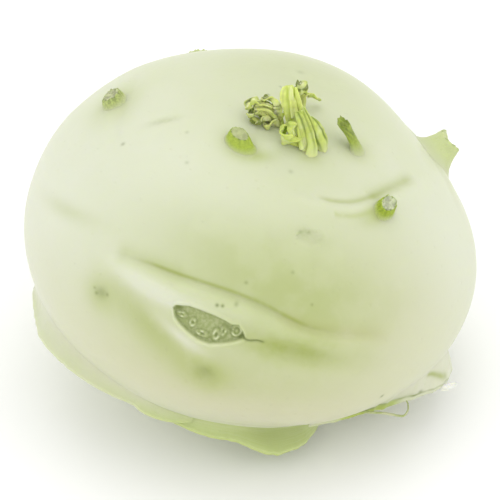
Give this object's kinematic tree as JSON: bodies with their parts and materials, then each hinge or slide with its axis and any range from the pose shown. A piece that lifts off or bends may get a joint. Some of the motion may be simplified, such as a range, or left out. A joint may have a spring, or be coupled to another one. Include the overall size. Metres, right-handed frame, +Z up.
{
  "type": "kohlrabi",
  "caption": "Trimmed pale green kohlrabi: flattened swollen stem with leaf scars, cut leaf stalk stubs, green leaf bases and small heart leaves, resting on a flat spot.",
  "frame": {"origin": "on the flat spot that the kohlrabi rests on, straight below the middle of the bulb", "axes": "+Z up from the resting face; the growth axis leans 13 degrees from +Z towards +X; the large leaf scar faces -Y"},
  "size_m": [0.1092, 0.1111, 0.0861],
  "materials": {
    "skin": "waxy satin, pale whitish green, slightly translucent",
    "leaf_base": "waxy satin, light green",
    "stub": "green with a dry, rough cut end",
    "heart_pale": "satin yellow-green",
    "heart_leaf": "matte dark green, crinkled",
    "fibre": "dry pale green-tan strand"
  },
  "bodies": {
    "root": {"bulb": "skin", "leaf_base_left": "leaf_base", "leaf_base_front": "leaf_base", "leaf_base_right": "leaf_base", "leaf_base_back": "leaf_base", "stub_crown_left": "stub", "stub_crown_right": "stub", "stub_upper_left": "stub", "stub_right_shoulder": "stub", "stub_right_rim": "stub", "stub_back": "stub", "heart_stalk": "heart_pale", "heart_leaf_left": "heart_leaf", "heart_leaf_back": "heart_leaf", "heart_shoots": "heart_leaf", "fibre": "fibre"}
  },
  "joints": []
}
